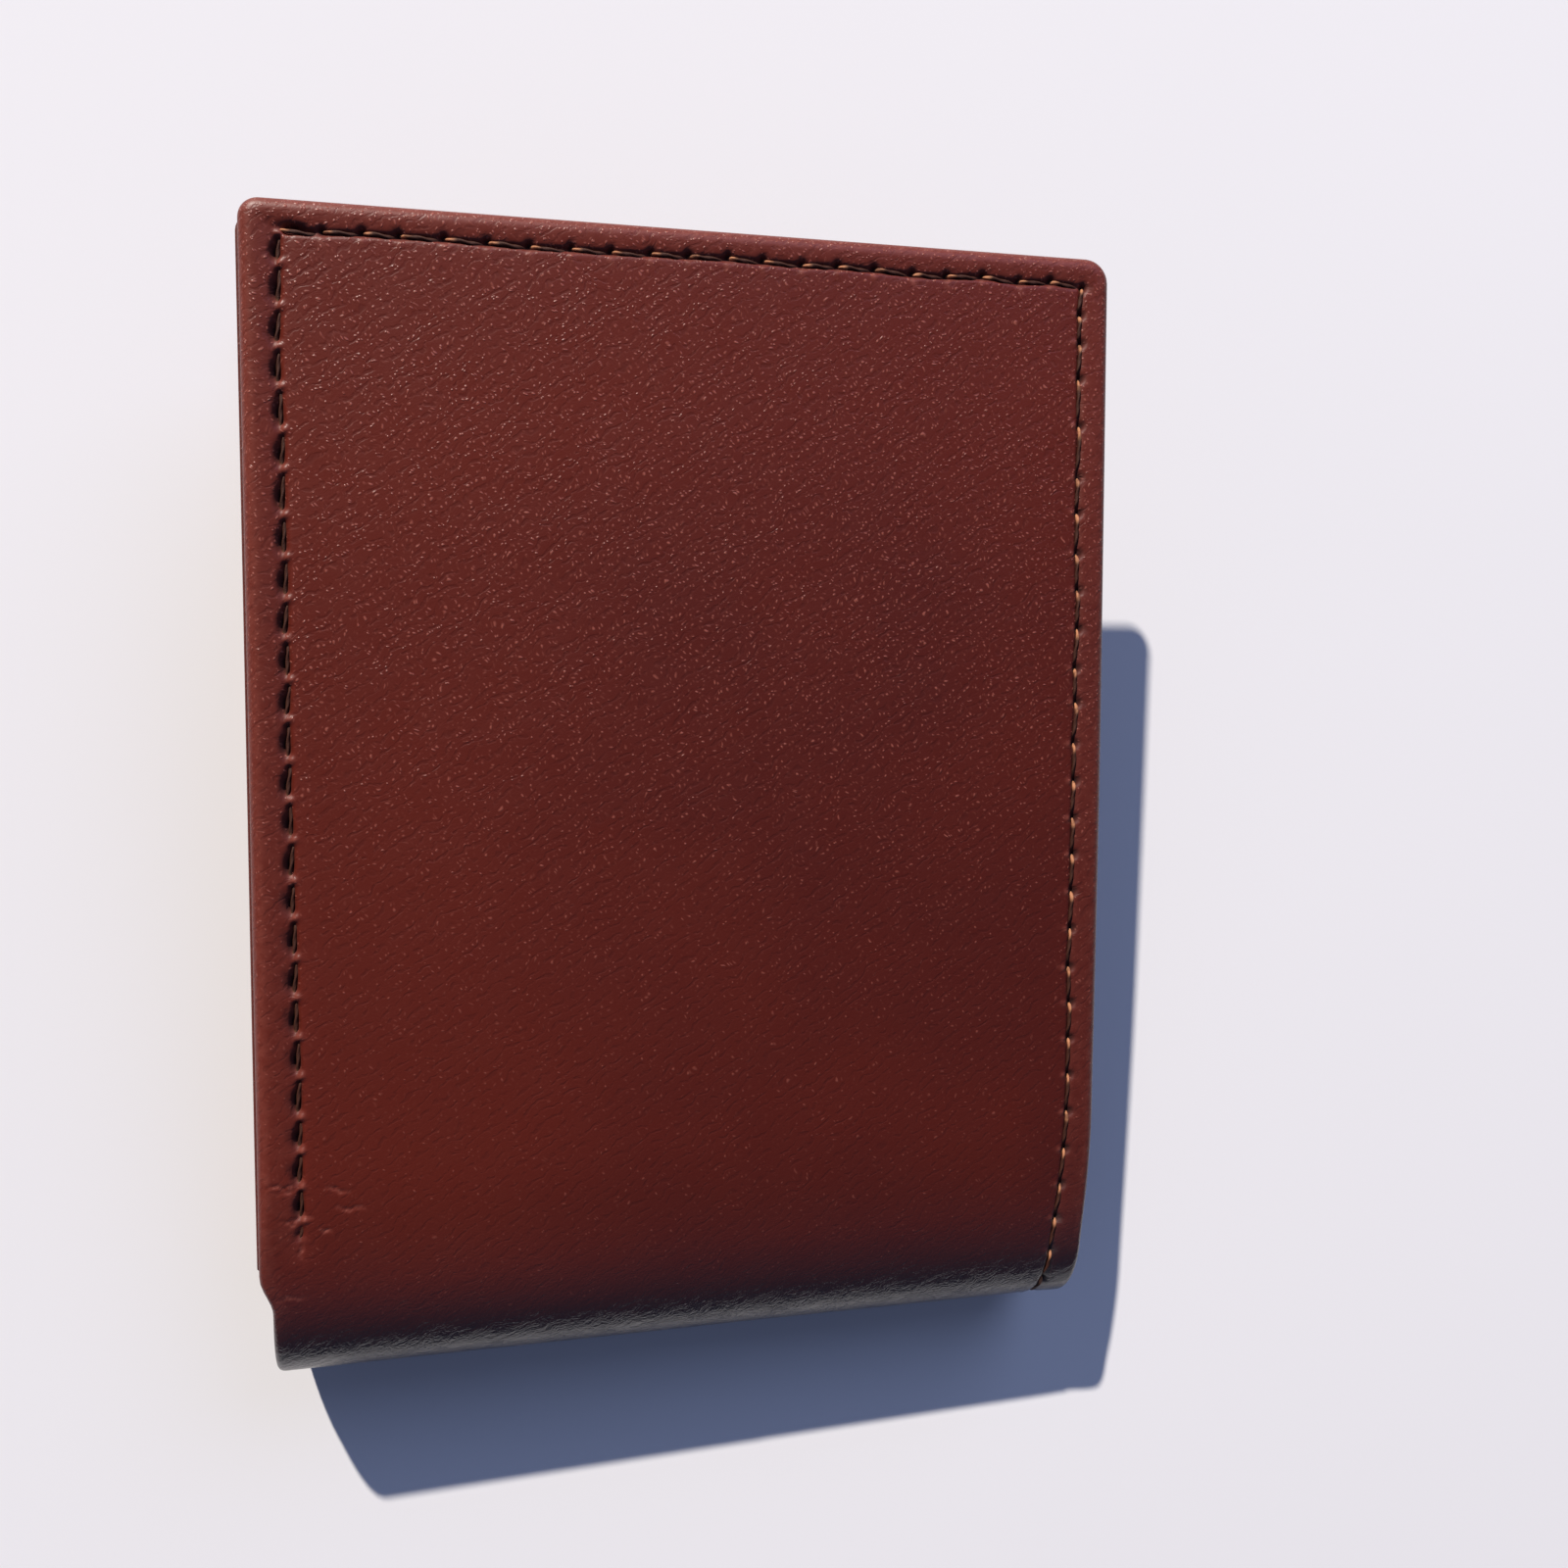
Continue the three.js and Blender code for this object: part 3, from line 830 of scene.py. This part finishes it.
def outer_leather(side):
    """Half of the cover, from the middle of the spine to the free edge, with its hem."""
    xs = grid_lines(-HALF_WIDTH, HALF_WIDTH, 0.7)
    ss = grid_lines(0, S_END, 0.7, first=np.array([0, 0.05]))
    bm = slab(xs, ss, True, needs_detail)
    gx, gs, face = grid_of(bm).T
    x, s, edge = trimmed(gx, gs)
    outside, painted_shade, wear_and_highlight = outside_depth(x, s, edge, side)
    y = s - ARC
    depth = np.where(face > 0.5, inside_depth(edge, y), outside)
    # The pattern goes on over the rolled edges, and isn't drawn out there.
    over_side = np.sign(gx) * ramp(np.abs(gx), HALF_WIDTH - 1.2, HALF_WIDTH)
    over_end = ramp(gs, S_END - 1.2, S_END)
    drawn_x, drawn_s = x + over_side * depth, s + over_end * depth
    attributes = {
        "flat": flat_attribute(drawn_x, drawn_s, depth * 0.3, side),
        "painted_shade": np.where(face > 0.5, 0, painted_shade),
        "wear_and_highlight": wear_and_highlight,
        "fold": ramp(y, 10, -4),
        # Painted shade towards the fold.
        "painted_fold_shade": 0.3 * ramp(y, 17, 2) + 0.64 * ramp(y, 5.5, -2.5),
        "warm": warmth_and_sheen(x, y),
        # Fewer dots, and so fewer painted glints, towards the fold.
        "fewer_dots": 0.55 * ramp(y, 95, 10),
    }
    points = place(np.stack([x, s, depth], 1), side)
    obj = finish_piece(f"{side}_leather", bm, points, attributes, OUTER)
    bend(obj, side)
    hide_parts(f"{side}_cover", "spine_cover")


def outer_stitches(side):
    """The seam's stitches, the last of them as far as the middle of the spine."""
    rng = np.random.default_rng(21 if side == "front" else 22)
    holes = OUTER_HOLES[side]
    made = []
    for start, end in zip(holes[:-1], holes[1:]):
        gap = 0.1 * (end - start) / np.linalg.norm(end - start)
        kind = seam_kind(end[0])
        depths = (kind.thread_depth, kind.thread_depth, kind.thread_dive)
        points, faces, along = stitch(start + gap, end - gap, depths, rng, kind.thread_radius)
        made.append((points, faces, kind.glint_hidden + (1 - kind.glint_hidden) * along))
    kind = SHALLOW_SEAM
    depths = (kind.thread_depth, kind.thread_depth, kind.thread_dive)
    across = stitch(holes[-1], holes[-1] * [1, -1], depths, rng, kind.thread_radius, slant=0.0)
    made.append(half_stitch(*across))
    obj = thread_piece(f"{side}_outer_stitches", side, made, THREAD)
    bend(obj, side)
    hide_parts(f"{side}_outer_seam", "spine_outer_seam")


# ---- Layers inside the cover ----


def thin_layer(name, side, margin, depths, radius, step, material):
    """A thin layer that lies in the cover and goes round the fold."""
    half_width, end = HALF_WIDTH - margin, S_END - margin
    thick = (depths[1] - depths[0]) / 2
    lines = EDGE_LINES[:5] * thick / EDGE_LINES[4]
    xs = grid_lines(-half_width, half_width, step, lines, lines)
    ss = grid_lines(0, end, step, np.array([0, 0.05]), lines)
    bm = slab(xs, ss, True)
    gx, gs, face = grid_of(bm).T
    x, s, edge = rounded(gx, gs, half_width, end, (radius, radius))
    drop = roll(edge, thick, thick)
    depth = np.where(face > 0.5, depths[1] - drop, depths[0] + drop)
    attributes = {"flat": flat_attribute(x, s, depth, side)}
    points = place(np.stack([x, s, depth], 1), side)
    obj = finish_piece(name, bm, points, attributes, material)
    bend(obj, side)
    return obj


def stiffener(side):
    name = f"{side}_board"
    obj = thin_layer(name, side, STIFFENER_MARGIN, STIFFENER, 1.0, 1.6, BOARD)
    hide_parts(f"{side}_stiffener", "spine_stiffener")


def lining(side):
    name = f"{side}_lining_cloth"
    obj = thin_layer(name, side, LINING_MARGIN, LINING, 1.5, 1.2, TWILL)
    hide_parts(f"{side}_lining", "spine_lining")


# ---- Flat panels of each half ----


def notched(x, gx, y, mouth):
    """x with a round thumb notch in the mouth."""
    away = y - (PANEL_START + PANEL_END) / 2
    reach = np.sqrt(np.maximum(NOTCH_RADIUS**2 - away**2, 0)) - NOTCH_OUTSIDE
    cut = 0.5 * (reach + np.sqrt(reach**2 + 0.5))
    return x - cut * ramp(np.abs(away), 12, 9.8) * ramp(gx, mouth - 14, mouth)


def panel_relief(x, y, from_mouth):
    """A swollen mouth with a creased line beside it, and dents under the seams."""
    relief = 0.14 * ramp(from_mouth, 6, 1) - 0.16 * bell(from_mouth - MOUTH_LINE, 0.22)
    for line in (x + INNER_SEAM, y - BESIDE_FOLD, y - INNER_SEAM_END):
        relief -= 0.14 * bell(line, 0.45)
    return relief


def panel(name, side, mouth, depths, material, slot_name, notch=False):
    """A panel sewn down on three sides, with its free edge, the mouth, towards +X."""
    proud = side == "front" and slot_name == "inside_leather"
    start = PROUD_X if proud else PANEL_X
    centre, half_width = (start + mouth) / 2, (mouth - start) / 2
    thick = (depths[1] - depths[0]) / 2
    xs = grid_lines(start, mouth, 1.1, PANEL_LINES, PANEL_LINES)
    ss = grid_lines(ARC + PANEL_START, ARC + PANEL_END, 1.1, PANEL_LINES, PANEL_LINES)
    bm = slab(xs, ss, False)
    gx, gs, face = grid_of(bm).T
    x, s, edge = rounded(gx, gs, half_width, ARC + PANEL_END, (1.6, 0), centre)
    edge = np.minimum(edge, gs - ARC - PANEL_START)
    y = s - ARC
    if proud:
        tucked_in = 1.75 * ramp(y, PROUD_FROM, PROUD_FROM - 1.2)
        x = x + tucked_in * ramp(gx, start + 8, start)
    if notch:
        x = notched(x, gx, y, mouth)
    drop = roll(edge, np.minimum(thick, 0.4), thick)
    from_mouth = mouth - gx
    relief = panel_relief(x, y, from_mouth)
    relief = np.where(face > 0.5, relief, 0.5 * np.maximum(relief, 0)) * ramp(edge, 0, 0.5)
    if slot_name != "inside_leather":
        relief *= 0.3
    depth = np.where(face > 0.5, depths[1] - drop, depths[0] + drop) + relief
    attributes = {
        "flat": flat_attribute(x + 13 * depths[0], s, depth, side),
        # Painted shade along the creased line beside the mouth.
        "painted_shade": 0.5 * np.where(face > 0.5, bell(from_mouth - MOUTH_LINE, 0.2), 0),
        "wear_and_highlight": 0.35 * bell(edge, 0.35),
        "fold": x * 0,
        "warm": x * 0 + 0.3,
        "painted_fold_shade": x * 0,
    }
    points = place(np.stack([x, s, depth], 1), side)
    obj = finish_piece(name, bm, points, attributes, material)
    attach(obj, f"{side}_half")
    return obj


def divider(side):
    obj = panel(f"{side}_divider_cloth", side, DIVIDER_MOUTH, DIVIDER, TWILL, "lining_fabric")
    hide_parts(f"{side}_divider")


def pockets(side):
    for name, (mouth, low, high) in POCKETS[side].items():
        notch = name == "card_pocket"
        piece = f"{side}_{name}_leather"
        obj = panel(piece, side, mouth, (low, high), INNER, "inside_leather", notch)
        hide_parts(f"{side}_{name}")


# ---- Seams on the inner faces ----


def face_depth(x, side):
    """Depth of the topmost face at x."""
    top = DIVIDER[1]
    for mouth, _, high in POCKETS[side].values():
        if x < mouth:
            top = high
    return top


def inner_run(points, side, rng, level=None):
    """Stitches that lie on the inner faces, or at a given depth, from hole to hole."""
    made = []
    for start, end in zip(points[:-1], points[1:]):
        gap = 0.14 * (end - start) / np.linalg.norm(end - start)
        a, b = start + gap, end - gap
        at_a, at_b = ((level or face_depth(p[0], side)) + 0.06 for p in (a, b))
        depths = (at_a, at_b, -0.7)
        made.append(stitch(a, b, depths, rng, radius=0.21, slant=0.1, rings=17, sides=10))
    return made


def along_line(start, end):
    """Holes at an even pitch between two points."""
    count = round(np.hypot(end[0] - start[0], end[1] - start[1]) / PITCH)
    t = np.linspace(0, 1, count + 1)
    return np.array(start) + np.outer(t, np.subtract(end, start))


def pocket_stitches(side):
    rng = np.random.default_rng(31 if side == "front" else 32)
    low, high = ARC + BESIDE_FOLD, ARC + INNER_SEAM_END
    made = inner_run(along_line((INNER_SEAM_MOUTH, low), (-INNER_SEAM, low)), side, rng)
    made += inner_run(along_line((-INNER_SEAM, low), (-INNER_SEAM, high)), side, rng)
    made += inner_run(along_line((-INNER_SEAM, high), (INNER_SEAM_MOUTH, high)), side, rng)
    obj = thread_piece(f"{side}_pocket_stitches", side, made, THREAD)
    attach(obj, f"{side}_half")
    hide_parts(f"{side}_pocket_seam")


def mouth_stitches(side):
    rng = np.random.default_rng(41 if side == "front" else 42)
    run = along_line((INNER_SEAM, ARC + INNER_SEAM_END), (INNER_SEAM, 0.15))
    obj = thread_piece(f"{side}_mouth_stitches", side, inner_run(run, side, rng, LINING[1]), THREAD)
    bend(obj, side)
    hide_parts(f"{side}_mouth_seam", "spine_mouth_seam")


for side in SIDES:
    outer_leather(side)
    outer_stitches(side)
    stiffener(side)
    lining(side)
    divider(side)
    pockets(side)
    pocket_stitches(side)
    mouth_stitches(side)


# ---- Floor, light and camera ----


def paper():
    """Plain white paper, very slightly cloudy."""
    n = Nodes("white_paper", 0.9, 0.15)
    where = n.add("TexCoord").outputs["Object"]
    cloud = n.noise(where, 9.0, 2.0)
    tone = n.mix(cloud, rgb(0.79, 0.785, 0.79), rgb(0.82, 0.81, 0.815))
    return n.out(Base_Color=tone)


FLOOR_SIZE = 6
FLOOR_AT = (0, 0, -0.0001)

bpy.ops.mesh.primitive_plane_add(size=FLOOR_SIZE, location=FLOOR_AT)
floor = bpy.context.object
floor.name = "floor"
floor.data.materials.append(paper())


def area_light(name, towards, distance, size, power, colour):
    """A round lamp that shines along a direction, at the middle of the case."""
    way = Vector(towards).normalized()
    lamp = bpy.data.lights.new(name, "AREA")
    lamp.shape, lamp.size = "DISK", size
    lamp.energy, lamp.color = power, colour
    obj = bpy.data.objects.new(name, lamp)
    obj.location = Vector((0, 0, 0.01)) - way * distance
    obj.rotation_euler = way.to_track_quat("-Z", "Y").to_euler()
    bpy.context.scene.collection.objects.link(obj)


area_light(
    "key",
    towards=(0.353, -0.768, -0.55),
    distance=5.0,
    size=0.12,
    power=415.0,
    colour=(1.0, 0.93, 0.85),
)
area_light(
    "fill",
    towards=(-0.4, -0.66, -0.635),
    distance=2.0,
    size=1.5,
    power=10.0,
    colour=(0.46, 0.58, 1.0),
)

world = bpy.data.worlds.new("studio")
world.use_nodes = True
sky = world.node_tree.nodes["Background"]
sky.inputs["Color"].default_value = rgb(0.44, 0.56, 1.0)
sky.inputs["Strength"].default_value = 0.16
bpy.context.scene.world = world
bpy.context.scene.view_settings.view_transform = "Standard"

CAMERA_AT = (-0.02779, -0.00503, 0.16909)
CAMERA_TURN = (2.505, -13.623, -1.404)  # degrees
FOCAL_LENGTH = 33.95
SENSOR_WIDTH = 36

lens = bpy.data.cameras.new("camera")
lens.lens, lens.sensor_width = FOCAL_LENGTH, SENSOR_WIDTH
camera = bpy.data.objects.new("camera", lens)
camera.location = CAMERA_AT
camera.rotation_euler = [math.radians(a) for a in CAMERA_TURN]
bpy.context.scene.collection.objects.link(camera)
bpy.context.scene.camera = camera
